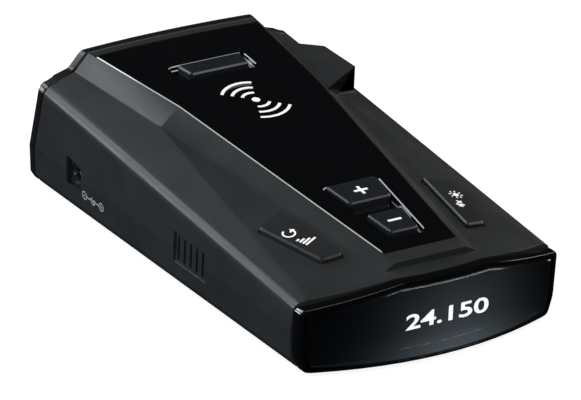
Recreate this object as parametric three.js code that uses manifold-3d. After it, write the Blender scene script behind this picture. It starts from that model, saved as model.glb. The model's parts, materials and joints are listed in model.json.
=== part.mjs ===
// Windscreen radar detector: two-piece wedge housing, gloss top panel, curved display bezel,
// five push buttons, DC inlet, horn antenna, laser optics, speaker and boards.
// Millimetres. +Z up, +X to the driver's right, the display faces -Y, the antenna looks along +Y.
// Lengths along Y are measured from the bezel's face at its two sides.
import * as THREE from 'three';
import { ConvexGeometry } from 'three/addons/geometries/ConvexGeometry.js';
import { mergeVertices } from 'three/addons/utils/BufferGeometryUtils.js';
import Module from 'manifold-3d';

const wasm = await Module();
wasm.setup();

// ---------------------------------------------------------------- overall sizes
const width = 70;             // across the sides at the parting line
const bodyLength = 117.7;     // bezel face at the sides to the rear cover's lower corners
const footHeight = 1;         // rubber feet below the housing floor
const clearance = 0.3;        // gap between neighbours that don't share a face
const seat = 0.1;             // gap under a piece that rests on another

// Housing
const wall = 2;
const partingHeight = 9;
const bottomDraft = 0.5;      // the sides lean in by this much towards the floor
const floorEdge = { reach: 1.4, height: 2 }; // chamfer along the floor's sides
const topDraft = 0.2;         // and by this much towards the shoulder edge
const edgeHeight = 15.8;      // shoulder edge at the front
const edgeSlope = 0.085;      // its rise per millimetre of length
const edgeRadius = 2.4;
const frontCrown = 7;         // the bezel face bows forward by this much at the middle
const rearCrown = 2.2;        // and the rear face bows back by this much
const rearRake = 0.2;         // rear face leans forward per millimetre above the parting line
const faceTilt = 0.034;       // the bezel face leans forward per millimetre of height

// Raised spine: half-widths and heights at the front, at the fold and at the rear
const foldY = bodyLength - 39.7;
const rearStation = bodyLength - 5.7;
const stations = [
  { y: -12, footHalf: 10.65, footZ: 19.15, topHalf: 8.05, topZ: 20.25 },
  { y: foldY, footHalf: 23.6, footZ: 26.9, topHalf: 19.05, topZ: 30.95 },
  { y: rearStation, footHalf: 26.5, footZ: 28.2, topHalf: 23.15, topZ: 32.3 },
];
const spineFront = 0;
const roof = 3;               // panel, its seat and the deck under it

// Gloss panel and the two wells in it
const panelThickness = 1.2;
const panelFront = 4.6;
const panelRear = bodyLength - 8.4;
const panelMargin = 0.45;     // strip of housing left beside the panel
const wellDepth = 1.2;
const wellFloor = 1;
const wellWall = 0.6;
const wellRadius = 1.6;
const panelRadius = 0.3;

// Buttons
const keyTravel = 0.4;
const releaseTravel = 2;
const flangeThickness = 0.8;
const flangeLip = 0.8;
const flangeBond = 0.2;       // the cap runs this far into its flange
const stemRadius = 1.5;
const stemSides = 16;
const plusKey = { y0: 24.8, y1: 33.4, half0: 5.6, half1: 6.8, proud: 0.7 };
const minusKey = { y0: 10.5, y1: 19.4, half0: 3.65, half1: 4.8, proud: 0.8 };
const releaseKey = { y0: bodyLength - 27.9, y1: bodyLength - 22.3, half0: 8, half1: 8.7, proud: 1 };
const keyWell = { y0: 8.7, y1: 34.6, half0: 5.4, half1: 8.2 };
const releaseWell = { y0: bodyLength - 29.5, y1: bodyLength - 20.3, half0: 10.4, half1: 11.1 };
const shoulderKey = [[27, 29.7], [19.4, 33], [16.8, 10.1], [22.1, 10.9]]; // plan corners
const shoulderProud = 1;
const keyRadius = 0.9;

// Electronics
const boardThickness = 1.6;
const boardStand = 2.4;       // standoff height above the floor
const switchSize = 6;
const switchHeight = 3.6;
const plungerRadius = 1.7;
const plungerRoot = 1.2;      // plunger inside its switch
const plungerRise = keyTravel + 1; // plunger above its switch
const jackSize = 6;           // DC jack body, square
const jackLength = 12;
const jackY = bodyLength - 20.6;
const sleeveRadius = 2.1;
const plugRadius = 1.75;
const pinRadius = 0.65;
const screwRadius = 1.1;
const screwHeadRadius = 2.3;
const screwHead = 1.6;
const headSides = 20;
const socketRadius = 0.9;     // hexagon socket
const screwGrip = 3.5;        // lower housing left above each screw head
const housingScrewLength = 8;
const boardScrewLength = 3.6;
const standoffRadius = 2.4;
const bossRadius = 2.9;
const footRadius = 4;
const footSeat = 0.6;         // depth of the feet's seats in the floor

// Vents
const ventCount = 5;
const ventPitch = 2.6;
const ventWidth = 0.9;
const ventFront = 40.7;
const ventBottom = 6.45;
const ventTop = 12.6;
const ventEdge = 1.6;         // shallow recess left around the slots
const recessDepth = 0.5;

// Display
const bezelDepth = 3;
const bezelRim = 1.4;
const rimRelief = 0.7;        // the rim below the window is narrower by this much
const bezelLedge = 1.4;       // the window seats on this
const windowThickness = 1.5;
const bezelTop = 20;
const bezelSideTop = 15.2;
const bezelKink = 11.8;
const displayY = -1.9;
const displayZ = [4.4, 14.2];
const moduleMargin = 12;      // display glass to the housing's sides
const moduleThickness = 1.6;
const displayBoardMargin = 8; // and its board
const displayBoardZ = [3.4, 14.4];

// Rear face
const capDepth = 2.5;
const slot = { half: 13, height: 4.4, front: bodyLength - 19.7 };

// ---------------------------------------------------------------- colours
function look(color, roughness, metalness) {
  return new THREE.MeshStandardMaterial({ color, roughness, metalness });
}


const shellLook = look(0x2b2e32, 0.62, 0);
const glossLook = look(0x08090b, 0.08, 0);
const keyLook = look(0x1c2027, 0.45, 0);
const windowLook = look(0x0c1118, 0.05, 0);
const laserLook = look(0x2a1512, 0.12, 0);
const boardLook = look(0x14502d, 0.5, 0);
const steelLook = look(0xb8bcc2, 0.3, 1);
const castLook = look(0x9a9da1, 0.5, 1);
const blackLook = look(0x151515, 0.6, 0);
const rubberLook = look(0x111111, 0.9, 0);
const lensLook = look(0x3a0d10, 0.05, 0);

// ---------------------------------------------------------------- solid helpers
function solid(geometry) {
  const plain = geometry.index ? geometry.toNonIndexed() : geometry.clone();
  plain.deleteAttribute('normal');
  plain.deleteAttribute('uv');
  const merged = mergeVertices(plain, 1e-4);
  const vertProperties = new Float32Array(merged.attributes.position.array);
  const triVerts = new Uint32Array(merged.index.array);
  return new wasm.Manifold(new wasm.Mesh({ numProp: 3, vertProperties, triVerts }));
}

function geometryOf(manifold) {
  const { vertProperties, triVerts, numProp } = manifold.getMesh();
  const positions = new Float32Array((vertProperties.length / numProp) * 3);
  for (let i = 0; i < positions.length / 3; i++) {
    for (let k = 0; k < 3; k++) positions[3 * i + k] = vertProperties[numProp * i + k];
  }
  const geometry = new THREE.BufferGeometry();
  geometry.setAttribute('position', new THREE.BufferAttribute(positions, 3));
  geometry.setIndex(new THREE.BufferAttribute(new Uint32Array(triVerts), 1));
  geometry.computeVertexNormals();
  return geometry;
}

const join = (...pieces) => pieces.reduce((sum, piece) => sum.add(piece));
const cut = (body, ...pieces) => pieces.reduce((rest, piece) => rest.subtract(piece), body);

function hull(points) {
  return solid(new ConvexGeometry(points.map(([x, y, z]) => new THREE.Vector3(x, y, z))));
}

function box([x0, x1], [y0, y1], [z0, z1]) {
  const geometry = new THREE.BoxGeometry(x1 - x0, y1 - y0, z1 - z0);
  geometry.translate((x0 + x1) / 2, (y0 + y1) / 2, (z0 + z1) / 2);
  return solid(geometry);
}

// Upright cylinder between two heights
function post(x, y, radius, z0, z1, sides = 24) {
  const geometry = new THREE.CylinderGeometry(radius, radius, z1 - z0, sides);
  geometry.rotateX(Math.PI / 2);
  geometry.translate(x, y, (z0 + z1) / 2);
  return solid(geometry);
}

// Cylinder along X between two places
function barrel(x0, x1, y, z, radius, sides = 24) {
  const geometry = new THREE.CylinderGeometry(radius, radius, x1 - x0, sides);
  geometry.rotateZ(Math.PI / 2);
  geometry.translate((x0 + x1) / 2, y, z);
  return solid(geometry);
}

// Outline grown by `grow` and rounded at its corners, extruded upright between two heights
function prism(corners, grow, radius, z0, z1) {
  const outline = roundedShape(grown(corners, grow), radius);
  const settings = { depth: z1 - z0, bevelEnabled: false, curveSegments: 4 };
  const geometry = new THREE.ExtrudeGeometry(outline, settings);
  geometry.translate(0, 0, z0);
  return solid(geometry);
}

// Moves every side of a convex anticlockwise outline outwards by a distance
function grown(corners, distance) {
  const count = corners.length;
  const lines = corners.map(([x, y], i) => {
    const [nx, ny] = corners[(i + 1) % count];
    const length = Math.hypot(nx - x, ny - y);
    const normal = [(ny - y) / length, (x - nx) / length];
    return { normal, offset: normal[0] * x + normal[1] * y + distance };
  });
  return lines.map((line, i) => {
    const before = lines[(i + count - 1) % count];
    const det = before.normal[0] * line.normal[1] - before.normal[1] * line.normal[0];
    const x = (before.offset * line.normal[1] - line.offset * before.normal[1]) / det;
    const y = (before.normal[0] * line.offset - line.normal[0] * before.offset) / det;
    return [x, y];
  });
}

function roundedShape(corners, radius) {
  const shape = new THREE.Shape();
  const count = corners.length;
  corners.forEach(([x, y], i) => {
    const [px, py] = corners[(i + count - 1) % count];
    const [nx, ny] = corners[(i + 1) % count];
    const toPrevious = radius / Math.hypot(px - x, py - y);
    const toNext = radius / Math.hypot(nx - x, ny - y);
    const start = [x + (px - x) * toPrevious, y + (py - y) * toPrevious];
    const end = [x + (nx - x) * toNext, y + (ny - y) * toNext];
    if (i === 0) shape.moveTo(...start);
    else shape.lineTo(...start);
    shape.quadraticCurveTo(x, y, ...end);
  });
  shape.closePath();
  return shape;
}

// Symmetric trapezoid outline, anticlockwise from its front left corner
const trapezoid = ({ y0, y1, half0, half1 }) => [[-half0, y0], [half0, y0], [half1, y1], [-half1, y1]];

// ---------------------------------------------------------------- housing surfaces
const mix = (a, b, t) => a + (b - a) * t;
const side = width / 2;
const edgeHalf = side - topDraft;
const beyondFront = -20;
const beyondRear = bodyLength + 20;
const belowAll = -20;
const aboveAll = 60;

function station(y) {
  const i = y < foldY ? 0 : 1;
  const t = (y - stations[i].y) / (stations[i + 1].y - stations[i].y);
  const at = (key) => mix(stations[i][key], stations[i + 1][key], t);
  return { y, footHalf: at('footHalf'), footZ: at('footZ'), topHalf: at('topHalf'), topZ: at('topZ') };
}

const edgeZ = (y) => edgeHeight + edgeSlope * y;

// Height of the shoulder at a place between its edge and the spine's foot
function shoulderZ(x, y) {
  const { footHalf, footZ } = station(y);
  return mix(edgeZ(y), footZ, (edgeHalf - Math.abs(x)) / (edgeHalf - footHalf));
}

// Half of a cross-section without the spine, from the floor up to the spine's foot
function bodySection(y, inset) {
  const { footHalf, footZ } = station(y);
  const corner = [edgeHalf - inset, edgeZ(y) - inset];
  const slope = (footZ - edgeZ(y)) / (edgeHalf - footHalf);
  const radius = Math.max(edgeRadius - inset, 0.4);
  const low = [corner[0], corner[1] - radius];
  const high = [corner[0] - radius, corner[1] + slope * radius];
  const points = [
    [side - bottomDraft - floorEdge.reach - inset, inset],
    [side - bottomDraft - inset, floorEdge.height + inset],
    [side - inset, partingHeight],
  ];
  const steps = 4;
  for (let k = 0; k <= steps; k++) {
    const t = k / steps;
    points.push([0, 1].map((a) => mix(mix(low[a], corner[a], t), mix(corner[a], high[a], t), t)));
  }
  points.push([footHalf, footZ - inset]);
  return points;
}

const mirrored = (points, y) => points.flatMap(([x, z]) => [[x, y, z], [-x, y, z]]);

// Housing without its spine, between two places along its length
function body(inset, y0, y1) {
  const slabs = [[y0, foldY], [foldY, y1]];
  return join(...slabs.map(([a, b]) => hull([a, b].flatMap((y) => mirrored(bodySection(y, inset), y)))));
}

// Raised spine, moved in at its sides and down at its top
function spine(inset, drop, y0, y1) {
  const rooted = 4;           // it starts this far below its foot
  const half = (y) => {
    const { footHalf, footZ, topHalf, topZ } = station(y);
    const foot = footHalf - inset;
    return [[foot, footZ - rooted], [foot, footZ - drop / 2], [topHalf - inset, topZ - drop]];
  };
  const slabs = [[y0, foldY], [foldY, y1]];
  return join(...slabs.map(([a, b]) => hull([a, b].flatMap((y) => mirrored(half(y), y)))));
}

// Layer of the spine's top between two depths
function topLayer(high, low) {
  const layer = (y) => [[width, station(y).topZ - high], [width, station(y).topZ - low]];
  const slabs = [[beyondFront, foldY], [foldY, beyondRear]];
  return join(...slabs.map(([a, b]) => hull([a, b].flatMap((y) => mirrored(layer(y), y)))));
}

const arcSteps = 14;
const across = Array.from({ length: arcSteps + 1 }, (_, i) => (side + 1) * ((2 * i) / arcSteps - 1));
const crown = (x) => 1 - (x / side) ** 2;
const faceY = (x, z) => -frontCrown * crown(x) - faceTilt * z;
const rearY = (x, z) => bodyLength - rearRake * Math.max(0, z - partingHeight) + rearCrown * crown(x);

// Everything between the bezel face moved back and the rear face moved forward
function between(behindFace, aheadOfRear) {
  const points = across.flatMap((x) => [
    ...[belowAll, aboveAll].map((z) => [x, faceY(x, z) + behindFace, z]),
    ...[belowAll, partingHeight, aboveAll].map((z) => [x, rearY(x, z) - aheadOfRear, z]),
  ]);
  return hull(points);
}

// ---------------------------------------------------------------- laser hood
const hoodSide = side - 3.4;
const hood = {
  innerFront: [17.5, foldY - 6.4],
  footFront: [23.4, foldY - 1.6],
  outerFront: [hoodSide, foldY + 2.2],
  outerRear: [hoodSide, foldY + 15.5],
  tailY: foldY + 25,
  top: stations[1].topZ - 0.55,
  base: 20,                   // hidden inside the shoulder
};

// Wedge that stands on the right shoulder, level with the spine's top
function hoodBlock() {
  const { innerFront, outerFront, outerRear, tailY, top, base } = hood;
  const bury = 2;
  const { topHalf, topZ } = station(tailY);
  return hull([
    [...innerFront, base],
    [...innerFront, top],
    [...outerFront, base],
    [...outerFront, top],
    [...outerRear, top],
    [hoodSide, tailY, base],
    [hoodSide, tailY, edgeZ(tailY) - bury / 2],
    [topHalf - bury, tailY + bury, base],
    [topHalf - bury, tailY + bury, topZ - bury],
  ]);
}

// ---------------------------------------------------------------- shared places
const floorTop = wall;
const boardBottom = floorTop + boardStand;
const boardTop = boardBottom + boardThickness;
const jackZ = boardTop + jackSize / 2 + clearance;
const corners = (x, front, rear) => [
  { name: 'front_left', x: -x, y: front },
  { name: 'front_right', x, y: front },
  { name: 'rear_left', x: -x, y: rear },
  { name: 'rear_right', x, y: rear },
];
const bosses = corners(side - 5.7, 35.6, bodyLength - 28.7);
const feet = corners(side - 11, 15, bodyLength - 21.7);
const standoffs = [
  [-20, bodyLength - 47.7],
  [20, bodyLength - 47.7],
  [-22, 12],
  [22, 12],
];
const boardScrews = [
  { name: 'left', at: standoffs[0] },
  { name: 'right', at: standoffs[1] },
];
const switchTop = boardTop + switchHeight;
const plungerTop = switchTop + plungerRise;
const keyCentre = (key) => (key.y0 + key.y1) / 2;
const shoulderCentre = [21.4, 21];
const switches = [
  { name: 'power', x: -shoulderCentre[0], y: shoulderCentre[1] },
  { name: 'mute', x: shoulderCentre[0], y: shoulderCentre[1] },
  { name: 'plus', x: 0, y: keyCentre(plusKey) },
  { name: 'minus', x: 0, y: keyCentre(minusKey) },
];

// ---------------------------------------------------------------- housing pieces
const shoulderOutline = (sign) => {
  const corners = shoulderKey.map(([x, y]) => [sign * x, y]);
  return sign > 0 ? corners : corners.reverse();
};

const slotTop = stations[2].topZ - roof - clearance;
const slotBottom = slotTop - slot.height;
const slotShelf = 1.5;        // plastic left around the slot

const slotSpace = () => box([-slot.half, slot.half], [slot.front, beyondRear], [slotBottom, slotTop]);

const throughLeft = [-side - 1, -side + wall + 1];

function ventCuts() {
  const slots = [];
  for (let i = 0; i < ventCount; i++) {
    const y = ventFront + i * ventPitch;
    slots.push(box(throughLeft, [y - ventWidth / 2, y + ventWidth / 2], [ventBottom, ventTop]));
  }
  const recess = box(
    [-side - 1, -side + recessDepth],
    [ventFront - ventEdge, ventFront + (ventCount - 1) * ventPitch + ventEdge],
    [ventBottom - ventEdge / 2, ventTop + ventEdge / 2],
  );
  return join(recess, ...slots);
}

const jackHalf = jackSize / 2;
const jackCut = () => box(
  throughLeft,
  [jackY - jackHalf - clearance, jackY + jackHalf + clearance],
  [jackZ - jackHalf - clearance, jackZ + jackHalf + clearance],
);

const frontSetback = bezelDepth + clearance;
const rearSetback = capDepth + clearance;
const farFront = -12;
const farRear = bodyLength + 6;
const spineSolid = () => spine(0, 0, spineFront, farRear);
const cavity = () => join(body(wall, farFront, farRear), spine(wall, roof, spineFront + wall, farRear));
const layer = (z0, z1) => box([-width, width], [beyondFront, beyondRear], [z0, z1]);

function panelOutline() {
  const half = (y) => station(y).topHalf - panelMargin;
  const points = [[-half(panelFront), panelFront], [half(panelFront), panelFront]];
  const steps = 8;
  for (let i = 0; i <= steps; i++) {
    const x = half(panelRear) * (1 - (2 * i) / steps);
    points.push([x, panelRear + rearCrown * crown(x) - rearCrown * crown(half(panelRear))]);
  }
  return points;
}

function upperHousing() {
  const solidTop = join(body(0, farFront, farRear), spineSolid(), hoodBlock());
  const ends = between(frontSetback, rearSetback);
  const shell = solidTop.subtract(cavity());
  const shelf = box(
    [-slot.half - slotShelf, slot.half + slotShelf],
    [slot.front - slotShelf, bodyLength],
    [slotBottom - slotShelf, slotTop + wall],
  );
  const posts = bosses.map(({ x, y }) => post(x, y, bossRadius, partingHeight, aboveAll));
  const skin = wall / 2;
  const core = join(body(skin, farFront, farRear), spine(skin, skin, spineFront, farRear));
  const inside = join(shelf, ...posts).intersect(core);
  const upper = join(shell, inside).intersect(ends).intersect(layer(partingHeight, aboveAll));
  const wells = [keyWell, releaseWell].map((well) => (
    prism(trapezoid(well), clearance, wellRadius, switchTop, aboveAll)
  ));
  const keys = [-1, 1].map((sign) => (
    prism(shoulderOutline(sign), clearance, keyRadius, partingHeight, aboveAll)
  ));
  const recess = prism(panelOutline(), clearance, panelRadius, 0, aboveAll)
    .intersect(topLayer(-aboveAll, panelThickness + seat));
  const pilotTop = partingHeight - seat - screwGrip + housingScrewLength + 1;
  const pilots = bosses.map(({ x, y }) => post(x, y, screwRadius + clearance, 0, pilotTop));
  const openings = [slotSpace(), latchHole(), hoodPocket(), ventCuts(), jackCut()];
  return cut(upper, recess, ...wells, ...keys, ...pilots, ...openings);
}


function lowerHousing() {
  const trimmed = body(0, farFront, farRear)
    .intersect(between(frontSetback, rearSetback))
    .intersect(layer(belowAll, partingHeight - seat));
  const posts = bosses.map(({ x, y }) => post(x, y, bossRadius, wall / 2, partingHeight - seat));
  const stands = standoffs.map(([x, y]) => post(x, y, standoffRadius, wall / 2, boardBottom - seat));
  const shell = join(trimmed.subtract(body(wall, farFront, farRear)), ...posts, ...stands);
  const headRoom = partingHeight - seat - screwGrip;
  const bores = bosses.flatMap(({ x, y }) => [
    post(x, y, screwRadius + clearance, -1, partingHeight + 1),
    post(x, y, screwHeadRadius + clearance, -1, headRoom, headSides),
  ]);
  const footSeats = feet.map(({ x, y }) => post(x, y, footRadius + clearance, -1, footSeat));
  const taps = boardScrews.map(({ at }) => post(...at, screwRadius + clearance, wall / 2, boardBottom + 1));
  return cut(shell, ...bores, ...footSeats, ...taps, ventCuts(), jackCut());
}

function topPanel() {
  const plate = prism(panelOutline(), 0, panelRadius, 0, aboveAll).intersect(topLayer(0, panelThickness));
  const column = (outline, grow, radius) => prism(trapezoid(outline), grow, radius, 0, aboveAll);
  const wells = [keyWell, releaseWell];
  const trays = wells.map((well) => (
    column(well, 0, wellRadius).intersect(topLayer(panelThickness / 2, wellDepth + wellFloor))
  ));
  const hollows = wells.map((well) => (
    column(well, -wellWall, wellRadius).intersect(topLayer(-aboveAll, wellDepth))
  ));
  const holes = [plusKey, minusKey, releaseKey].map((key) => column(key, clearance, keyRadius));
  return cut(join(plate, ...trays), ...hollows, ...holes);
}

// ---------------------------------------------------------------- buttons
const stemBottom = plungerTop + seat;

// Key of the top panel: cap, retaining flange under the well floor, and a stem down to what it pushes
function panelKey(key, bottom) {
  const under = wellDepth + wellFloor + clearance;
  const cap = prism(trapezoid(key), 0, keyRadius, 0, aboveAll)
    .intersect(topLayer(-key.proud, under + flangeBond));
  const flange = prism(trapezoid(key), flangeLip, keyRadius, 0, aboveAll)
    .intersect(topLayer(under, under + flangeThickness));
  const top = station(keyCentre(key)).topZ - under - flangeThickness / 2;
  return join(cap, flange, post(0, keyCentre(key), stemRadius, bottom, top, stemSides));
}

// Key of a shoulder: the cap follows the shoulder, and the flange follows its underside
function shoulderKeyPiece(sign) {
  const outline = shoulderOutline(sign);
  const under = wall + clearance;
  const shoulder = (inset) => body(inset, farFront, farRear);
  const column = (grow) => prism(outline, grow, keyRadius, partingHeight, aboveAll);
  const cap = column(0).intersect(shoulder(-shoulderProud)).subtract(shoulder(under + flangeBond));
  const flange = column(flangeLip).intersect(shoulder(under)).subtract(shoulder(under + flangeThickness));
  const [x, y] = shoulderCentre;
  const top = shoulderZ(x, y) - under - flangeThickness / 2;
  return join(cap, flange, post(sign * x, y, stemRadius, stemBottom, top, stemSides));
}

// ---------------------------------------------------------------- bracket release
const armTop = slotBottom - slotShelf - clearance;
const armThickness = 1.8;
const armHalf = 4;
const toothY = slot.front + 5;
const toothHalf = 2.5;
const toothLength = 3;
const toothTop = slotBottom + releaseTravel - seat - seat;
const toothStep = 1.5;        // its rear edge is this much lower, so the bracket rides over it
const springRadius = 2.2;
const springWire = 0.4;
const springClosed = 2.4;     // the spring's height with its coils together
const springBase = armTop - armThickness - releaseTravel - springClosed;

function latchHole() {
  return box(
    [-toothHalf - clearance, toothHalf + clearance],
    [toothY - toothLength / 2 - clearance, toothY + toothLength / 2 + clearance],
    [armTop, slotBottom + seat],
  );
}

const releaseButton = () => panelKey(releaseKey, armTop + seat);

function releaseLatch() {
  const y = keyCentre(releaseKey);
  const front = toothY - toothLength / 2;
  const rear = toothY + toothLength / 2;
  const root = armTop - armThickness / 2;
  const arm = box([-armHalf, armHalf], [y - armHalf, rear], [armTop - armThickness, armTop]);
  const tooth = hull([-toothHalf, toothHalf].flatMap((x) => [
    [x, front, root],
    [x, rear, root],
    [x, front, toothTop],
    [x, rear, toothTop - toothStep],
  ]));
  return join(arm, tooth);
}

class Helix extends THREE.Curve {
  constructor(radius, height, turns) {
    super();
    Object.assign(this, { radius, height, turns });
  }

  getPoint(t, target = new THREE.Vector3()) {
    const angle = 2 * Math.PI * this.turns * t;
    return target.set(this.radius * Math.cos(angle), this.radius * Math.sin(angle), this.height * t);
  }
}

function releaseSpring() {
  const turns = 4;
  const bottom = springBase + seat + springWire;
  const top = armTop - armThickness - seat - springWire;
  const section = new THREE.Shape();
  section.absarc(0, 0, springWire / 2, 0, 2 * Math.PI);
  const extrudePath = new Helix(springRadius, top - bottom, turns);
  const settings = { steps: turns * 14, extrudePath, curveSegments: 3 };
  const geometry = new THREE.ExtrudeGeometry(section, settings);
  geometry.translate(0, keyCentre(releaseKey), bottom);
  return solid(geometry);
}

// ---------------------------------------------------------------- display end
const bezelFloor = -0.4;      // the frame hangs a little below the housing floor
const bezelWaist = 4;
const bezelRadius = 1.2;
const windowRadius = 0.6;
const bezelHalf = [
  [side - bottomDraft - floorEdge.reach, bezelFloor],
  [side - clearance, bezelWaist],
  [side - seat, bezelSideTop],
  [bezelKink, bezelTop],
];

// Outline in the XZ plane carried along Y, with its floor lowered by a distance
function bezelPrism(grow, radius, lowered = 0) {
  const half = bezelHalf.map(([x, z], i) => [x, i === 0 ? z - lowered : z]);
  const corners = [...half, ...half.map(([x, z]) => [-x, z]).reverse()];
  const outline = roundedShape(grown(corners, grow), radius);
  const depth = 40;
  const settings = { depth, bevelEnabled: false, curveSegments: 3 };
  const geometry = new THREE.ExtrudeGeometry(outline, settings);
  geometry.rotateX(Math.PI / 2);
  geometry.translate(0, depth / 2, 0);
  return solid(geometry);
}

// Curved layer behind the bezel face between two depths
const faceLayer = (front, back) => between(front, 0).subtract(between(back, -clearance));

function displayBezel() {
  const frame = bezelPrism(0, bezelRadius).intersect(faceLayer(0, bezelDepth));
  const rebate = bezelPrism(-bezelRim, windowRadius, rimRelief)
    .intersect(faceLayer(-1, windowThickness + seat));
  return cut(frame, rebate, bezelPrism(-bezelRim - bezelLedge, windowRadius));
}

function displayWindow() {
  return bezelPrism(-bezelRim - clearance, windowRadius, rimRelief)
    .intersect(faceLayer(seat, windowThickness));
}

const moduleRear = displayY + moduleThickness;

function displayModule() {
  const half = side - moduleMargin;
  return box([-half, half], [displayY, moduleRear], displayZ);
}

function displayBoard() {
  const half = side - displayBoardMargin;
  return box([-half, half], [moduleRear + seat, moduleRear + moduleThickness], displayBoardZ);
}

// ---------------------------------------------------------------- rear face
function rearCover() {
  const solidBack = join(body(0, farFront, farRear), spineSolid());
  const skin = between(0, 0).subtract(between(beyondFront, capDepth));
  return cut(solidBack.intersect(skin), slotSpace());
}

// Places on the hood's front face: distance along it from the spine, depth behind it
const hoodSpan = [0, 1].map((a) => hood.outerFront[a] - hood.footFront[a]);
const hoodLength = Math.hypot(...hoodSpan);
const hoodAlong = hoodSpan.map((value) => value / hoodLength);
const hoodPlace = (distance, depth) => [
  hood.footFront[0] + hoodAlong[0] * distance - hoodAlong[1] * depth,
  hood.footFront[1] + hoodAlong[1] * distance + hoodAlong[0] * depth,
];

// Three-sided prism set into the hood's front, between two depths behind that face
const hoodRim = 0.6;          // housing left around the pocket
const pocketDepth = 5;
const laserWindowDepth = 2;
const sensorSize = 2;

function hoodWedge(shrink, depth0, depth1) {
  const far = hoodLength - hoodRim;
  const triangle = grown([
    [hoodRim, shoulderZ(...hood.footFront)],
    [far, shoulderZ(...hood.outerFront) + hoodRim],
    [far, hood.top - hoodRim],
  ], -shrink);
  return hull([depth0, depth1].flatMap((depth) => (
    triangle.map(([distance, z]) => [...hoodPlace(distance, depth), z])
  )));
}

const hoodPocket = () => hoodWedge(0, -1, pocketDepth);
const laserWindow = () => hoodWedge(clearance, clearance, laserWindowDepth);

function rearLaserSensor() {
  const far = hoodLength - hoodRim - 2 * clearance;
  const front = laserWindowDepth + clearance;
  const [footZ, outerZ] = [hood.footFront, hood.outerFront].map((place) => shoulderZ(...place));
  const floor = mix(footZ, outerZ + hoodRim, (far - sensorSize) / hoodLength) + clearance;
  const places = [0, sensorSize].flatMap((depth) => [
    [far - sensorSize, front + depth],
    [far, front + depth],
  ]);
  return hull(places.flatMap((place) => (
    [floor, floor + sensorSize].map((z) => [...hoodPlace(...place), z])
  )));
}

// ---------------------------------------------------------------- boards and parts on them
const boardInset = 1.6;       // board's side to the housing wall
const boardFront = 4;
const boardRear = bodyLength - 5.7;

function mainBoard() {
  const half = side - wall - boardInset;
  const outline = trapezoid({ y0: boardFront, y1: boardRear, half0: half, half1: half });
  const plate = prism(outline, 0, wellRadius, boardBottom, boardTop);
  const notches = bosses.map(({ x, y }) => post(x, y, bossRadius + 2 * clearance, 0, aboveAll));
  const holes = boardScrews.map(({ at }) => post(...at, screwRadius + clearance, 0, aboveAll));
  return cut(plate, ...notches, ...holes);
}

function switchBody({ x, y }) {
  const half = switchSize / 2;
  const block = box([x - half, x + half], [y - half, y + half], [boardTop + seat, switchTop]);
  const wellBottom = switchTop - plungerRoot - keyTravel - clearance - clearance;
  return cut(block, post(x, y, plungerRadius + clearance, wellBottom, aboveAll));
}

function switchPlunger({ x, y }) {
  return post(x, y, plungerRadius, switchTop - plungerRoot, plungerTop, stemSides);
}

const hornMouth = { half: 18, bottom: boardTop + 0.6, top: boardTop + 12.4 };
const hornThroat = { half: 8, bottom: boardTop + 1.5, top: boardTop + 8.5 };
const hornRear = bodyLength - 5.2;
const hornFront = bodyLength - 36.2;
const hornWall = 1.1;
const hornFlange = { half: 15, depth: 1.2, top: hornMouth.top - 1 };
const padHalf = 3.4;          // the release spring stands on this pad

function hornAntenna() {
  const frustum = (inset, y0, y1) => hull([[hornThroat, y0], [hornMouth, y1]].flatMap(([end, y]) => (
    mirrored([[end.half - inset, end.bottom + inset], [end.half - inset, end.top - inset]], y)
  )));
  const y = keyCentre(releaseKey);
  const pad = box([-padHalf, padHalf], [y - padHalf, y + padHalf], [hornMouth.bottom, springBase]);
  const flange = box(
    [-hornFlange.half, hornFlange.half],
    [hornFront, hornFront + hornFlange.depth],
    [hornMouth.bottom, hornFlange.top],
  );
  const casting = join(frustum(0, hornFront, hornRear), flange, pad);
  return cut(casting, frustum(hornWall, hornFront + 2 * hornWall, hornRear + seat));
}

const can = { half: 15, front: hornFront - 19, rear: hornFront - clearance, height: 6, sheet: 0.5 };

function shieldCan() {
  const { half, front, rear, height, sheet } = can;
  const top = boardTop + height;
  const shell = box([-half, half], [front, rear], [boardTop + seat, top]);
  const hollow = box([sheet - half, half - sheet], [front + sheet, rear - sheet], [0, top - sheet]);
  return cut(shell, hollow);
}

const lensX = side - 11;
const lensZ = boardTop + 7;
const lensRadius = 4.2;
const lensRear = bodyLength - 4.2;
const lensRim = 1;
const lensBulge = 1.6;
const lensLip = 0.8;          // the holder's lip in front of the lens
const holderWall = 1;
const holderLength = 9;
const laserChip = { half: 2.5, depth: 3, y: lensRear - 12.5 };

// Turned outline about Y, given as radius and place along the axis
function turned(profile, x, y, z, sides = 24) {
  const points = profile.map(([radius, along]) => new THREE.Vector2(radius, along));
  const geometry = new THREE.LatheGeometry(points, sides);
  geometry.translate(x, y, z);
  return solid(geometry);
}

function laserLens() {
  const steps = 5;
  const dome = Array.from({ length: steps + 1 }, (_, i) => {
    const t = 1 - i / steps;
    return [lensRadius * t, lensRim + lensBulge * (1 - t * t)];
  });
  return turned([[0, 0], [lensRadius, 0], ...dome], lensX, lensRear - lensRim - lensBulge, lensZ);
}

function lensHolder() {
  const y = lensRear - holderLength;
  const bore = lensRadius + clearance;
  const outer = bore + holderWall;
  const stop = holderLength - lensRim - lensBulge - seat;
  const profile = [
    [outer, 0],
    [outer, holderLength],
    [bore, holderLength],
    [bore, stop],
    [lensRadius - lensLip, stop],
    [lensRadius - lensLip, 0],
    [outer, 0],
  ];
  const foot = box(
    [lensX - holderWall, lensX + holderWall],
    [y, lensRear],
    [boardTop + seat, lensZ - bore - holderWall / 2],
  );
  return join(turned(profile, lensX, y, lensZ), foot);
}

function laserSensor() {
  const { half, depth, y } = laserChip;
  return box([lensX - half, lensX + half], [y - depth / 2, y + depth / 2], [boardTop + seat, lensZ + half]);
}

// ---------------------------------------------------------------- DC inlet
const jackFace = -side + 0.9;
const sleeveEnd = jackFace + jackLength - 2;

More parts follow.
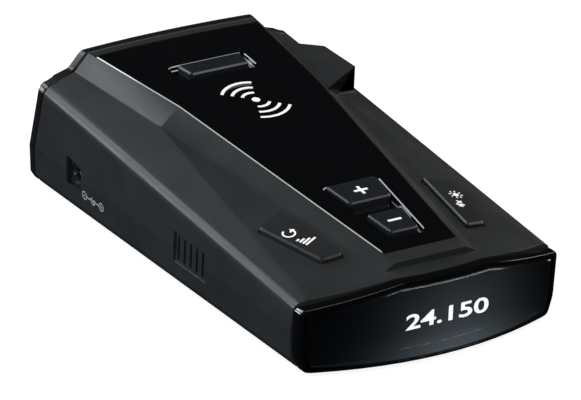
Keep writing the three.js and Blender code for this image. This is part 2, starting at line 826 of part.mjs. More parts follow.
function jackBody() {
  const block = box(
    [jackFace, jackFace + jackLength],
    [jackY - jackHalf, jackY + jackHalf],
    [jackZ - jackHalf, jackZ + jackHalf],
  );
  return cut(block, barrel(jackFace - 1, sleeveEnd + seat, jackY, jackZ, sleeveRadius + seat));
}
function jackSleeve() {
  const tube = barrel(jackFace + clearance, sleeveEnd, jackY, jackZ, sleeveRadius);
  return cut(tube, barrel(jackFace, sleeveEnd + 1, jackY, jackZ, plugRadius));
}

// Centre pin on its root, which closes the sleeve's inner end
function jackPin() {
  const root = sleeveEnd - 1;
  return join(
    barrel(jackFace + 1.2, sleeveEnd - seat, jackY, jackZ, pinRadius, 12),
    barrel(root, sleeveEnd, jackY, jackZ, plugRadius - seat, stemSides),
  );
}

// ---------------------------------------------------------------- speaker and small parts
const speakerAt = [-16.5, bodyLength - 67.7];
const speakerRadius = 11;
const speakerWall = 1.2;
const magnetRadius = 6.5;
const gasketTop = boardTop + 1;
const magnetTop = gasketTop + 2.4;
const speakerTop = magnetTop + 3.2;
const coneFloor = magnetTop + 1;
const coneThickness = 0.5;

const speakerGasket = () => post(...speakerAt, magnetRadius, boardTop + seat, gasketTop);
const speakerMagnet = () => post(...speakerAt, magnetRadius, gasketTop + seat, magnetTop);

function speakerFrame() {
  const basket = post(...speakerAt, speakerRadius, magnetTop + seat, speakerTop, 32);
  return cut(basket, post(...speakerAt, speakerRadius - speakerWall, coneFloor, speakerTop + 1, 32));
}

function speakerCone() {
  const outer = speakerRadius - speakerWall - clearance;
  const dust = outer / 3;
  const under = [[0, 1.1], [0.8 * dust, 0.8], [dust, 0.2], [outer - 1.4, 1.3], [outer, 1.1]];
  const over = under.map(([radius, z]) => [radius, z + coneThickness]).reverse();
  const profile = [...under, ...over].map(([radius, z]) => new THREE.Vector2(radius, z));
  const geometry = new THREE.LatheGeometry(profile, 32);
  geometry.rotateX(Math.PI / 2);
  geometry.translate(...speakerAt, coneFloor);
  return solid(geometry);
}

const processorAt = [6, bodyLength - 70.7];
const processorHalf = 6;
const processorHeight = 1.5;
const capacitorAt = [24, bodyLength - 60.7];
const capacitorRadius = 3.5;
const capacitorHeight = 8;

function processor() {
  const [x, y] = processorAt;
  const half = processorHalf;
  return box([x - half, x + half], [y - half, y + half], [boardTop + seat, boardTop + processorHeight]);
}

function capacitor() {
  return post(...capacitorAt, capacitorRadius, boardTop + seat, boardTop + capacitorHeight);
}

// Screw whose head bears at a height; headSide is +1 with the head above it and -1 with it below
function screw(x, y, bearing, length, headSide) {
  const upright = (radius, from, to, sides) => {
    const [z0, z1] = [bearing + headSide * from, bearing + headSide * to].sort((a, b) => a - b);
    return post(x, y, radius, z0, z1, sides);
  };
  const head = upright(screwHeadRadius, 0, screwHead, headSides);
  const shank = upright(screwRadius, -length, screwHead / 3, 12);
  const socket = upright(socketRadius, screwHead - socketRadius, screwHead + 1, 6);
  return cut(join(head, shank), socket);
}

const housingBearing = partingHeight - screwGrip - 2 * seat;

// ---------------------------------------------------------------- assembly
const detector = new THREE.Group();
detector.name = 'radar_detector';
const middleY = (bodyLength + rearCrown - frontCrown - faceTilt * bezelTop) / 2;
detector.position.set(0, -middleY, footHeight);

function add(name, manifold, material) {
  const mesh = new THREE.Mesh(geometryOf(manifold), material);
  mesh.name = name;
  detector.add(mesh);
}

add('upper_housing', upperHousing(), shellLook);
add('lower_housing', lowerHousing(), shellLook);
add('top_panel', topPanel(), glossLook);
add('display_bezel', displayBezel(), glossLook);
add('display_window', displayWindow(), windowLook);
add('display_module', displayModule(), blackLook);
add('display_board', displayBoard(), boardLook);
add('rear_cover', rearCover(), glossLook);
add('rear_laser_window', laserWindow(), laserLook);
add('rear_laser_sensor', rearLaserSensor(), blackLook);
add('power_button', shoulderKeyPiece(-1), keyLook);
add('mute_button', shoulderKeyPiece(1), keyLook);
add('plus_button', panelKey(plusKey, stemBottom), keyLook);
add('minus_button', panelKey(minusKey, stemBottom), keyLook);
add('release_button', releaseButton(), keyLook);
add('release_latch', releaseLatch(), blackLook);
add('release_spring', releaseSpring(), steelLook);
for (const place of switches) {
  add(place.name + '_switch', switchBody(place), blackLook);
  add(place.name + '_plunger', switchPlunger(place), castLook);
}
add('main_board', mainBoard(), boardLook);
add('horn_antenna', hornAntenna(), castLook);
add('rf_shield_can', shieldCan(), steelLook);
add('laser_lens', laserLens(), lensLook);
add('lens_holder', lensHolder(), blackLook);
add('laser_sensor', laserSensor(), blackLook);
add('dc_jack', jackBody(), blackLook);
add('dc_jack_sleeve', jackSleeve(), steelLook);
add('dc_jack_pin', jackPin(), steelLook);
add('speaker_gasket', speakerGasket(), rubberLook);
add('speaker_magnet', speakerMagnet(), castLook);
add('speaker_frame', speakerFrame(), blackLook);
add('speaker_cone', speakerCone(), rubberLook);
add('processor', processor(), blackLook);
add('power_capacitor', capacitor(), castLook);
for (const { name, at } of boardScrews) {
  add('board_screw_' + name, screw(...at, boardTop + seat, boardScrewLength, 1), steelLook);
}
for (const { name, x, y } of bosses) {
  add('housing_screw_' + name, screw(x, y, housingBearing, housingScrewLength, -1), steelLook);
}
for (const { name, x, y } of feet) {
  add('foot_' + name, post(x, y, footRadius, -footHeight, footSeat - seat), rubberLook);
}

export default detector;
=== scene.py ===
import json
import math

import bpy
from mathutils import Matrix, Quaternion, Vector


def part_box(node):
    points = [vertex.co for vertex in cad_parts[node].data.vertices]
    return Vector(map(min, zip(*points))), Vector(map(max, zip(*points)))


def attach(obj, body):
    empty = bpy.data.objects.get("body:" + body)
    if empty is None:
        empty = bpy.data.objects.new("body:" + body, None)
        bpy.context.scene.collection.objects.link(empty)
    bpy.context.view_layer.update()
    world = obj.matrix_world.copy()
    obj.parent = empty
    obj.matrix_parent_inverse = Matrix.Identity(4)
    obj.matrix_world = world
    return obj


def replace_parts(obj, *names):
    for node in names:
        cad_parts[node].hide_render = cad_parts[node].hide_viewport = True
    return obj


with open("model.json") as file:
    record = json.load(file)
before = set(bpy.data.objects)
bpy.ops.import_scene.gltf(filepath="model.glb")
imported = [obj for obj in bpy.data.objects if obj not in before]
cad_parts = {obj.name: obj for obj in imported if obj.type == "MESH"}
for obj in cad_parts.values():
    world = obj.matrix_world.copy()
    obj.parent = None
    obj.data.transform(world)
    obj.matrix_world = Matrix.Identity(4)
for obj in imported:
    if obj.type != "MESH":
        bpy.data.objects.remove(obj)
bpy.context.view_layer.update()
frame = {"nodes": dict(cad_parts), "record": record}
mm = 0.001
nodes = frame["nodes"]
bodies = frame["record"]["behaviour"]["bodies"]
bodyOf = {node: body for body, group in bodies.items() for node in group}
slotOf = {part["node"]: part["material_slot"] for part in frame["record"]["subparts"]}
print("frame loaded:", len(nodes), "nodes")


# Shader arithmetic: a Wire is a socket that takes Python operators
class Wire:
    def __init__(self, finish, socket):
        self.finish = finish
        self.socket = socket

    def do(self, operation, *values):
        return self.finish.node("ShaderNodeMath", {"operation": operation}, dict(enumerate(values)))

    def __add__(self, other):
        return self.do("ADD", self, other)

    def __radd__(self, other):
        return self.do("ADD", other, self)

    def __sub__(self, other):
        return self.do("SUBTRACT", self, other)

    def __rsub__(self, other):
        return self.do("SUBTRACT", other, self)

    def __mul__(self, other):
        return self.do("MULTIPLY", self, other)

    def __rmul__(self, other):
        return self.do("MULTIPLY", other, self)

    def __truediv__(self, other):
        return self.do("DIVIDE", self, other)

    def __rtruediv__(self, other):
        return self.do("DIVIDE", other, self)

    def __pow__(self, other):
        return self.do("POWER", self, other)

    def __rpow__(self, other):
        return self.do("POWER", other, self)


class Finish:
    def __init__(self, name, **constants):
        self.material = bpy.data.materials.new(name)
        self.material.use_nodes = True
        self.tree = self.material.node_tree
        self.tree.nodes.clear()
        self.shader = self.tree.nodes.new("ShaderNodeBsdfPrincipled")
        output = self.tree.nodes.new("ShaderNodeOutputMaterial")
        self.tree.links.new(self.shader.outputs[0], output.inputs["Surface"])
        for socket, value in constants.items():
            self.shader.inputs[socket.replace("_", " ")].default_value = value
        self.place = self.node("ShaderNodeTexCoord", output="Object")

    def node(self, kind, settings=None, inputs=None, output=0):
        made = self.tree.nodes.new(kind)
        for setting, value in (settings or {}).items():
            setattr(made, setting, value)
        for socket, value in (inputs or {}).items():
            self.plug(made.inputs[socket], value)
        return Wire(self, made.outputs[output])

    def plug(self, socket, value):
        if isinstance(value, Wire):
            self.tree.links.new(value.socket, socket)
        else:
            socket.default_value = value

    def feed(self, socket, value):
        self.plug(self.shader.inputs[socket], value)

    def noise(self, grain, detail=2.0, stretch=(1, 1, 1)):  # grain is one speck's size in millimetres
        place = self.node("ShaderNodeMapping", {}, {"Vector": self.place, "Scale": stretch})
        inputs = {"Vector": place, "Scale": 1 / (grain * mm), "Detail": detail}
        return self.node("ShaderNodeTexNoise", {}, inputs)

    def blend(self, factor, one, other):
        settings = {"data_type": "RGBA"}
        return self.node("ShaderNodeMix", settings, {0: factor, 6: one, 7: other}, output=2)

    def range(self, value, low, high, newLow, newHigh):
        inputs = {0: value, 1: low, 2: high, 3: newLow, 4: newHigh}
        return self.node("ShaderNodeMapRange", {}, inputs)

    def bump(self, height, depth):  # depth in millimetres
        inputs = {"Height": height, "Distance": depth * mm, "Strength": 1.0}
        self.feed("Normal", self.node("ShaderNodeBump", {}, inputs))


def grey(value):
    return (value, value, value, 1)


def scaled(color, share):
    return (*(part * share for part in color[:3]), 1)


def mouldedPlastic(name, color, shade, rough, grain, depth):
    cloudGrain = 14
    finish = Finish(name)
    specks = finish.noise(grain, 3)
    clouds = finish.noise(cloudGrain)
    mottle = finish.range(specks + clouds, 0.6, 1.4, 0, 1)
    finish.feed("Base Color", finish.blend(mottle, scaled(color, 1 - shade), color))
    finish.feed("Roughness", finish.range(clouds, 0.3, 0.7, *rough))
    finish.bump(specks, depth)
    return finish.material


def polishedPlastic(name, color, rough, smear, **constants):
    finish = Finish(name, **constants)
    haze = finish.noise(smear, 4)
    finish.feed("Base Color", finish.blend(haze, color, scaled(color, 1.3)))
    finish.feed("Roughness", finish.range(haze, 0.35, 0.7, *rough))
    return finish.material


def bareMetal(name, color, rough, grain, depth, stretch=(1, 1, 1)):
    finish = Finish(name, Metallic=1.0)
    brushed = finish.noise(grain, 3, stretch)
    streaks = finish.range(brushed, 0.3, 0.7, 0, 1)
    finish.feed("Base Color", finish.blend(streaks, scaled(color, 0.75), color))
    finish.feed("Roughness", finish.range(brushed, 0.3, 0.7, *rough))
    finish.bump(brushed, depth)
    return finish.material


def smokedWindowWithPaintedGlow():
    glow = {  # painted glow: the window itself emits a halo round the digits behind it, in place of their light spreading in the smoked glass; middle, half-width and reaches upward in millimetres
        "x": 4.0, "z": 2.0, "halfWidth": 16.0, "lowReach": 4.0, "highReach": 20.0,
        "lowShare": 0.45, "highShare": 0.55, "color": (0.78, 0.94, 1.06, 1), "strength": 0.075,
    }
    finish = Finish("smokedWindowWithPaintedGlow", Alpha=0.8, IOR=1.5, Emission_Strength=glow["strength"])
    haze = finish.noise(20, 2)
    finish.feed("Base Color", finish.blend(haze, (0.003, 0.004, 0.006, 1), (0.005, 0.006, 0.009, 1)))
    finish.feed("Roughness", finish.range(haze, 0.3, 0.7, 0.05, 0.09))
    sideways, height = (
        finish.node("ShaderNodeSeparateXYZ", {}, {0: finish.place}, output=axis) for axis in (0, 2))
    across = (sideways - glow["x"] * mm) / (glow["halfWidth"] * mm)
    upward = (height - glow["z"] * mm) / mm
    low, high = upward / glow["lowReach"], upward / glow["highReach"]
    paintedGlowColumn = glow["lowShare"] * math.e ** (0 - low * low) + glow["highShare"] * math.e ** (0 - high * high)
    paintedHalo = math.e ** (0 - across * across) * paintedGlowColumn
    # painted glow: emission laid on the window, brightest round the digits
    finish.feed("Emission Color", finish.blend(paintedHalo, grey(0), glow["color"]))
    return finish.material


def circuitBoard():
    finish = Finish("circuitBoard", Roughness=0.45)
    tracks = finish.node("ShaderNodeTexBrick", {"offset": 0.5}, {
        "Vector": finish.place, "Color1": grey(0.02), "Color2": grey(0.03), "Mortar": grey(1),
        "Scale": 260.0, "Mortar Size": 0.03, "Brick Width": 0.9, "Row Height": 0.35,
    })
    stain = finish.noise(9, 3)
    mask = finish.range(tracks, 0.1, 0.9, 0, 1)
    ground = finish.blend(stain, (0.012, 0.11, 0.045, 1), (0.018, 0.15, 0.06, 1))
    finish.feed("Base Color", finish.blend(mask, ground, (0.05, 0.26, 0.11, 1)))
    finish.bump(mask, 0.03)
    return finish.material


# emitting paint: a real lamp for the display digits, a painted glow for the key prints
def lampOrPaintedGlow(name, color, strength):
    finish = Finish(name, Emission_Color=color, Emission_Strength=strength, Roughness=0.5)
    finish.feed("Base Color", finish.blend(finish.noise(0.4, 2), grey(0.8), grey(0.9)))
    return finish.material


finishes = {  # shade is how much darker the mottle goes, rough the roughness from and to
    "shell": mouldedPlastic(
        "charcoalShell", (0.040, 0.043, 0.045, 1), shade=0.25, rough=(0.38, 0.46), grain=0.16, depth=0.012),
    "gloss": polishedPlastic(
        "pianoBlack", (0.0030, 0.0032, 0.0036, 1), rough=(0.04, 0.09), smear=22, IOR=1.85),
    "rear": polishedPlastic("rearGloss", (0.012, 0.0105, 0.011, 1), rough=(0.3, 0.4), smear=18),
    "key": mouldedPlastic(
        "keyBlack", (0.020, 0.023, 0.030, 1), shade=0.2, rough=(0.3, 0.38), grain=0.12, depth=0.006),
    "shoulderKey": mouldedPlastic(
        "shoulderKey", (0.030, 0.032, 0.034, 1), shade=0.2, rough=(0.36, 0.44), grain=0.14, depth=0.008),
    "window": smokedWindowWithPaintedGlow(),
    "display": polishedPlastic("displayGlass", (0.008, 0.012, 0.02, 1), rough=(0.1, 0.16), smear=12),
    "laser_window": polishedPlastic(
        "laserWindow", (0.10, 0.022, 0.012, 1), rough=(0.06, 0.12), smear=6, Alpha=0.8),
    "board": circuitBoard(),
    "black": mouldedPlastic(
        "mouldedBlack", (0.012, 0.012, 0.013, 1), shade=0.2, rough=(0.42, 0.5), grain=0.3, depth=0.01),
    "plunger": mouldedPlastic(
        "offWhite", (0.55, 0.55, 0.5, 1), shade=0.1, rough=(0.4, 0.5), grain=0.4, depth=0.004),
    "steel": bareMetal(
        "brightZinc", (0.66, 0.67, 0.69, 1), rough=(0.22, 0.34), grain=0.5, depth=0.004, stretch=(1, 1, 6)),
    "cast": bareMetal("castMetal", (0.5, 0.51, 0.53, 1), rough=(0.38, 0.55), grain=0.35, depth=0.02),
    "lens": polishedPlastic("lensRed", (0.05, 0.004, 0.008, 1), rough=(0.03, 0.05), smear=5, Alpha=0.8),
    "rubber": mouldedPlastic(
        "rubber", (0.016, 0.016, 0.016, 1), shade=0.25, rough=(0.75, 0.9), grain=0.5, depth=0.03),
    "paper": mouldedPlastic(
        "conePaper", (0.05, 0.046, 0.04, 1), shade=0.35, rough=(0.8, 0.95), grain=0.7, depth=0.05),
    # the key prints emit a faint painted glow at strength 0.55, though they are no lamp
    "print": lampOrPaintedGlow("keyPrintPaintedGlow", (1, 1, 1, 1), 0.55),
    "grey": mouldedPlastic(
        "greyPrint", (0.62, 0.63, 0.65, 1), shade=0.1, rough=(0.5, 0.6), grain=0.3, depth=0.002),
    "lamp": lampOrPaintedGlow("displayLamp", (0.95, 0.98, 1, 1), 25.0),
}
ownFinish = {"speaker_cone": "paper", "power_button": "shoulderKey", "mute_button": "shoulderKey"}


def finishOf(node):
    return ownFinish.get(node, slotOf[node])


for node, piece in nodes.items():
    piece.data.materials.clear()
    piece.data.materials.append(finishes[finishOf(node)])
print("finishes made:", len(finishes))


# Working by hand: one piece selected at a time
def hold(piece):
    bpy.ops.object.select_all(action="DESELECT")
    piece.select_set(True)
    bpy.context.view_layer.objects.active = piece


def editing(work):
    bpy.ops.object.mode_set(mode="EDIT")
    bpy.ops.mesh.select_all(action="SELECT")
    work()
    bpy.ops.object.mode_set(mode="OBJECT")


def settle(piece, node, finish):  # its place goes into its mesh, and it rides on the node's body
    hold(piece)
    bpy.ops.object.transform_apply(location=True, rotation=True, scale=True)
    piece.data.materials.clear()
    piece.data.materials.append(finishes[finish])
    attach(piece, bodyOf[node])
    return piece


weld = {"gap": 0.002, "flat": 0.35, "sharp": 28, "smooth": 32}  # millimetres, then degrees


def softened(node, edge, steps, shortest=0.05, beside=0, heights=(-1, 60)):
    piece = bpy.data.objects.new(node + "_shape", nodes[node].data.copy())
    bpy.context.scene.collection.objects.link(piece)
    hold(piece)
    bpy.ops.mesh.customdata_custom_splitnormals_clear()

    def clean():
        bpy.ops.mesh.remove_doubles(threshold=weld["gap"] * mm)
        bpy.ops.mesh.dissolve_limited(angle_limit=math.radians(weld["flat"]))
        bpy.ops.mesh.select_all(action="DESELECT")
        bpy.ops.mesh.select_mode(type="EDGE")
        bpy.ops.mesh.edges_select_sharp(sharpness=math.radians(weld["sharp"]))
    editing(clean)
    mesh = piece.data
    weights = mesh.attributes.new("bevel_weight_edge", "FLOAT", "EDGE")
    for line in mesh.edges:
        ends = [mesh.vertices[i].co / mm for i in line.vertices]
        inside = all(heights[0] < end.z < heights[1] and abs(end.x) >= beside for end in ends)
        if line.select and inside and (ends[0] - ends[1]).length > shortest:
            weights.data[line.index].value = 1
    bpy.ops.object.modifier_add(type="BEVEL")
    bevel = piece.modifiers[-1]
    bevel.width = edge * mm
    bevel.segments = steps
    bevel.limit_method = "WEIGHT"
    bevel.use_clamp_overlap = False
    bevel.loop_slide = False
    bpy.ops.object.modifier_apply(modifier=bevel.name)
    bpy.ops.object.shade_smooth_by_angle(angle=math.radians(weld["smooth"]))
    bpy.ops.object.modifier_add(type="WEIGHTED_NORMAL")  # keeps the flats flat beside their rounded edges
    piece.modifiers[-1].keep_sharp = True
    bpy.ops.object.modifier_apply(modifier=piece.modifiers[-1].name)
    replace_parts(settle(piece, node, finishOf(node)), node)
    return piece


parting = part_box("upper_housing")[0].z / mm
edges = {  # all in millimetres but steps: edge, shortest line, distance from the middle and heights rounded
    "upper_housing": {
        "edge": 0.35, "steps": 2, "shortest": 1.2, "beside": 23.5, "heights": (parting + 0.6, 60)},
    "lower_housing": {"edge": 0.3, "steps": 2, "shortest": 1.2, "heights": (0.5, parting - 0.6)},
    "top_panel": {"edge": 0.2, "steps": 1, "shortest": 0.5},
    "display_bezel": {"edge": 0.45, "steps": 2},
    "display_window": {"edge": 0.25, "steps": 1},
    "rear_cover": {"edge": 0.5, "steps": 3, "shortest": 0.6},
    "rear_laser_window": {"edge": 0.2, "steps": 1},
    "plus_button": {"edge": 0.34, "steps": 1, "shortest": 0.15},
    "minus_button": {"edge": 0.34, "steps": 1, "shortest": 0.15},
    "release_button": {"edge": 0.38, "steps": 1, "shortest": 0.15},
    "power_button": {"edge": 0.36, "steps": 1, "shortest": 0.15},
    "mute_button": {"edge": 0.36, "steps": 1, "shortest": 0.15},
    "dc_jack": {"edge": 0.2, "steps": 2},
}
shapes = {node: softened(node, **rounding) for node, rounding in edges.items()}
print("edges rounded on", len(shapes), "pieces")


# Prints and lamps: flat shapes drawn round the origin in millimetres, then laid on a surface
def bar(x, y, width, height, turn=0):
    bpy.ops.mesh.primitive_plane_add(size=1, location=(x, y, 0), rotation=(0, 0, math.radians(turn)))
    piece = bpy.context.active_object
    piece.scale = (width, height, 1)
    return piece


arcMesh = {"steps": 28, "seam": 0.001}


def arc(x, y, radius, stroke, start=0, sweep=360):  # one edge of a square, spun round the origin
    bpy.ops.mesh.primitive_plane_add(size=stroke, location=(radius, stroke / 2, 0))
    piece = bpy.context.active_object
    bpy.ops.object.transform_apply(location=True)
    bpy.ops.object.mode_set(mode="EDIT")
    bpy.ops.mesh.select_mode(type="VERT")
    bpy.ops.mesh.select_all(action="DESELECT")
    bpy.ops.object.mode_set(mode="OBJECT")
    for vertex in piece.data.vertices:
        vertex.select = vertex.co.y > stroke / 2
    bpy.ops.object.mode_set(mode="EDIT")
    bpy.ops.mesh.delete(type="VERT")
    bpy.ops.mesh.select_all(action="SELECT")
    bpy.ops.mesh.spin(
        steps=arcMesh["steps"], angle=math.radians(sweep), center=(0, 0, 0), axis=(0, 0, 1))
    bpy.ops.mesh.select_all(action="SELECT")
    bpy.ops.mesh.remove_doubles(threshold=arcMesh["seam"])
    bpy.ops.object.mode_set(mode="OBJECT")
    piece.rotation_euler = (0, 0, math.radians(start))
    piece.location = (x, y, 0)
    return piece


def disc(x, y, radius):
    return arc(x, y, radius, 2 * radius)


def words(text, size, weight):
    bpy.ops.object.text_add()
    piece = bpy.context.active_object
    piece.data.body = text
    piece.data.size = size
    piece.data.offset = weight
    piece.data.align_x = "CENTER"
    piece.data.align_y = "CENTER"
    bpy.ops.object.convert(target="MESH")
    return bpy.context.active_object


def landing(node, start, direction):
    target = shapes.get(node, nodes[node])
    hit, place, normal, _ = target.ray_cast(Vector(start) * mm, Vector(direction))
    if not hit:
        raise RuntimeError("nothing of " + node + " lies that way")
    return place, normal


ink = {"lift": 0.01, "thickness": 0.04}  # millimetres


def lay(name, parts, node, start, direction, upward, finish):
    place, normal = landing(node, start, direction)
    upward = Vector(upward)
    upward = (upward - normal * upward.dot(normal)).normalized()
    across = upward.cross(normal)
    bpy.ops.object.select_all(action="DESELECT")
    for part in parts:
        part.select_set(True)
    bpy.context.view_layer.objects.active = parts[0]
    bpy.ops.object.transform_apply(location=True, rotation=True, scale=True)
    if len(parts) > 1:
        bpy.ops.object.join()
    piece = bpy.context.active_object
    piece.name = name
    turn = Matrix((across, upward, normal)).transposed().to_4x4()
    piece.matrix_world = Matrix.Translation(place + normal * ink["lift"] * mm) @ turn @ Matrix.Scale(mm, 4)
    hold(piece)
    bpy.ops.object.transform_apply(location=True, rotation=True, scale=True)
    bpy.ops.object.modifier_add(type="SOLIDIFY")
    piece.modifiers[-1].thickness = ink["thickness"] * mm
    piece.modifiers[-1].offset = 1
    bpy.ops.object.modifier_apply(modifier=piece.modifiers[-1].name)
    editing(lambda: bpy.ops.mesh.normals_make_consistent(inside=False))
    return settle(piece, node, finish)


def centreOf(node):
    low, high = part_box(node)
    return (low + high) / 2 / mm


# The four key signs: every number is a share of the sign's size, but for counts and degrees
def powerSign(x, y, size):
    look = {"radius": 0.42, "stroke": 0.13, "start": 122, "sweep": 296, "stemRise": 0.34, "stem": 0.42}
    ring = arc(x, y, size * look["radius"], size * look["stroke"], look["start"], look["sweep"])
    return [ring, bar(x, y + size * look["stemRise"], size * look["stroke"], size * look["stem"])]


def strengthSign(x, y, size):
    look = {"bars": 4, "left": -0.39, "low": -0.3, "pitch": 0.26, "width": 0.15, "shortest": 0.24}
    return [
        bar(x + size * (look["pitch"] * i + look["left"]), y + size * (look["pitch"] / 2 * i + look["low"]),
            size * look["width"], size * (look["pitch"] * i + look["shortest"]))
        for i in range(look["bars"])
    ]


def muteSign(x, y, size):
    look = {"magnet": (-0.32, 0.18, 0.3), "horn": (-0.12, 0.14, 0.62), "cross": (0.26, 0.1, 0.5)}
    strokes = [(*look["magnet"], 0), (*look["horn"], 0), (*look["cross"], 45), (*look["cross"], -45)]
    return [
        bar(x + size * side, y, size * width, size * height, turn)
        for side, width, height, turn in strokes
    ]


def sunSign(x, y, size):
    look = {"rays": 8, "reach": 0.42, "length": 0.18, "width": 0.09, "core": 0.11}
    parts = []
    for angle in (math.tau * i / look["rays"] for i in range(look["rays"])):
        side, rise = size * look["reach"] * math.cos(angle), size * look["reach"] * math.sin(angle)
        parts.append(bar(x + side, y + rise, size * look["length"], size * look["width"],
                         math.degrees(angle)))
    return [disc(x, y, size * look["core"])] + parts


down = (0, 0, -1)
outside = 90  # millimetres from the middle, clear of every piece
setting = {"stroke": 0.7, "across": 3.6, "upright": 3.3}
for node, sign in (("plus_button", "+"), ("minus_button", "-")):
    middle = centreOf(node)
    strokes = [bar(0, 0, setting["across"], setting["stroke"])]
    if sign == "+":
        strokes.append(bar(0, 0, setting["stroke"], setting["upright"]))
    lay(node + "_sign", strokes, node, (middle.x, middle.y, outside), down, (0, 1, 0), "print")

shoulder = {"lean": 69, "size": 3.4, "gap": 2.3}
shoulderKeys = {"power_button": (-1, powerSign, strengthSign), "mute_button": (1, muteSign, sunSign)}
for node, (side, first, second) in shoulderKeys.items():
    middle = centreOf(node)
    lean = math.radians(shoulder["lean"])
    parts = first(-shoulder["gap"], 0, shoulder["size"]) + second(shoulder["gap"], 0, shoulder["size"])
    lay(node + "_sign", parts, node, (middle.x, middle.y, outside), down,
        (-side * math.sin(lean), math.cos(lean), 0), "print")

emblem = {"dot": 0.5, "waves": 3, "first": 3.2, "pitch": 2.4, "stroke": 0.75, "sweep": 76, "fromRear": 36}
parts = [disc(0, 0, emblem["dot"])]
for wave in range(emblem["waves"]):
    for facing in (0, 180):
        parts.append(arc(0, 0, emblem["first"] + emblem["pitch"] * wave, emblem["stroke"],
                         facing - emblem["sweep"] / 2, emblem["sweep"]))
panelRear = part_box("top_panel")[1].y / mm
lay("panel_emblem", parts, "top_panel",
    (0, panelRear - emblem["fromRear"], outside), down, (0, 1, 0), "print")

polarity = {  # centre contact in its cup, and a lead to a ringed sign at each end
    "cup": 0.85, "cupStroke": 0.36, "cupStart": 40, "cupSweep": 280, "dot": 0.2,
    "stroke": 0.32, "ring": 0.95, "sign": 0.9, "minusX": -3.8, "plusX": 3.7,
    "minusLead": (-1.9, 1.9), "plusLead": (1.5, 2.4), "fromJack": 8.6, "height": 6.9,
}
parts = [
    arc(0, 0, polarity["cup"], polarity["cupStroke"], polarity["cupStart"], polarity["cupSweep"]),
    disc(0, 0, polarity["dot"]),
]
for x, length in (polarity["minusLead"], polarity["plusLead"]):
    parts.append(bar(x, 0, length, polarity["stroke"]))
for x in (polarity["minusX"], polarity["plusX"]):
    parts.append(arc(x, 0, polarity["ring"], polarity["stroke"]))
    parts.append(bar(x, 0, polarity["sign"], polarity["stroke"]))
parts.append(bar(polarity["plusX"], 0, polarity["stroke"], polarity["sign"]))
lay("polarity_print", parts, "lower_housing",
    (-outside, centreOf("dc_jack").y - polarity["fromJack"], polarity["height"]),
    (1, 0, 0), (0, 0, 1), "grey")

reading = {"text": "24.150", "size": 5.2, "weight": 0.09, "stretch": 1.6, "x": 4.2, "drop": 2.6}
digits = words(reading["text"], reading["size"], reading["weight"])
digits.scale = (reading["stretch"], 1, 1)
lay("display_digits", [digits], "display_module",
    (reading["x"], -outside, centreOf("display_module").z - reading["drop"]),
    (0, 1, 0), (0, 0, 1), "lamp")
print("prints and lamps laid")


# Stage, lights and camera
lampDistance = 1.1
lights = {  # toward is the way from the object to the lamp, size in metres, power in watts
    "rearLowLight": {
        "toward": (-0.58, 0.76, 0.20), "size": (0.4, 0.22), "power": 3.6, "color": (0.88, 0.94, 1)},
    "rearLight": {
        "toward": (-0.40, 0.74, 0.54), "size": (0.4, 0.28), "power": 1.7, "color": (0.9, 0.95, 1)},
    "panelEdgeLight": {
        "toward": (-0.55, 0.54, 0.64), "size": (0.34, 0.3), "power": 1.6, "color": (0.95, 0.98, 1)},
    "rearTopLight": {
        "toward": (-0.24, 0.70, 0.68), "size": (0.25, 0.25), "power": 0.7, "color": (0.92, 0.96, 1)},
    "topLight": {
        "toward": (0.1, 0.1, 0.99), "size": (0.5, 0.5), "power": 0.6, "color": (1, 0.99, 0.97)},
    "frontLeftLight": {
        "toward": (-0.85, -0.5, 0.25), "size": (0.5, 0.4), "power": 3.2, "color": (0.86, 0.93, 1)},
    "rimLight": {
        "toward": (0.5, -0.40, 0.77), "size": (1.3, 0.26), "power": 4.4, "color": (1, 0.99, 0.96),
        "turn": -38},
    "rightLight": {
        "toward": (0.92, 0.2, 0.33), "size": (0.5, 0.4), "power": 2.2, "color": (1, 0.98, 0.95)},
}


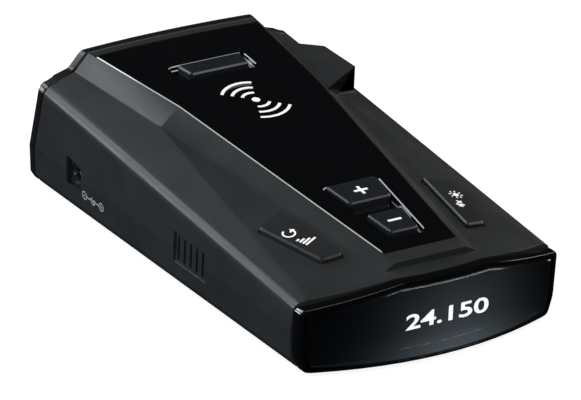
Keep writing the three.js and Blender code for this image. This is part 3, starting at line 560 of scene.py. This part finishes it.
def softbox(name, toward, size, power, color, turn=0):
    bpy.ops.object.light_add(type="AREA", location=Vector(toward).normalized() * lampDistance)
    lamp = bpy.context.active_object
    lamp.name = name
    lamp.rotation_mode = "QUATERNION"
    facing = Vector(toward).to_track_quat("Z", "Y")
    lamp.rotation_quaternion = facing @ Quaternion((0, 0, 1), math.radians(turn))
    lamp.data.shape = "RECTANGLE"
    lamp.data.size, lamp.data.size_y = size
    lamp.data.energy = power
    lamp.data.color = color


for name, lamp in lights.items():
    softbox(name, **lamp)
air = {"color": (0.85, 0.92, 1, 1), "strength": 0.012}
world = bpy.data.worlds.new("studio")
bpy.context.scene.world = world
world.use_nodes = True
world.node_tree.nodes["Background"].inputs["Color"].default_value = air["color"]
world.node_tree.nodes["Background"].inputs["Strength"].default_value = air["strength"]

ground = {"size": 6, "drop": 0.0002, "shade": 0.3, "glow": 0.9}  # metres
bpy.ops.mesh.primitive_plane_add(size=ground["size"], location=(0, 0, -ground["drop"]))
floor = bpy.context.active_object
floor.name = "floor"
paleFloor = Finish("paleFloor", Base_Color=grey(ground["shade"]), Roughness=0.9,
                   Emission_Color=grey(1), Emission_Strength=ground["glow"])
floor.data.materials.append(paleFloor.material)
floor.visible_glossy = False
floor.visible_diffuse = False

view = {  # degrees, metres and, for the lens and sensor, millimetres
    "azimuth": -33.67, "elevation": 24.72, "roll": 2.64, "eye": (-0.80868, -1.21271, 0.68403),
    "lens": 429.2, "sensor": 36, "shift": (-0.0018, 0.00115), "farthest": 20,
}
a, e, r = (math.radians(view[key]) for key in ("azimuth", "elevation", "roll"))
back = Vector((math.sin(a) * math.cos(e), -math.cos(a) * math.cos(e), math.sin(e)))
right = Vector((math.cos(a), math.sin(a), 0))
above = back.cross(right)
tilted = (math.cos(r) * right + math.sin(r) * above, math.cos(r) * above - math.sin(r) * right, back)
bpy.ops.object.camera_add()
camera = bpy.context.active_object
camera.matrix_world = Matrix.Translation(view["eye"]) @ Matrix(tilted).transposed().to_4x4()
camera.data.lens = view["lens"]
camera.data.sensor_width = view["sensor"]
camera.data.shift_x, camera.data.shift_y = view["shift"]
camera.data.clip_end = view["farthest"]
bpy.context.scene.camera = camera
bpy.context.scene.view_settings.view_transform = "Standard"

print("scene ready")
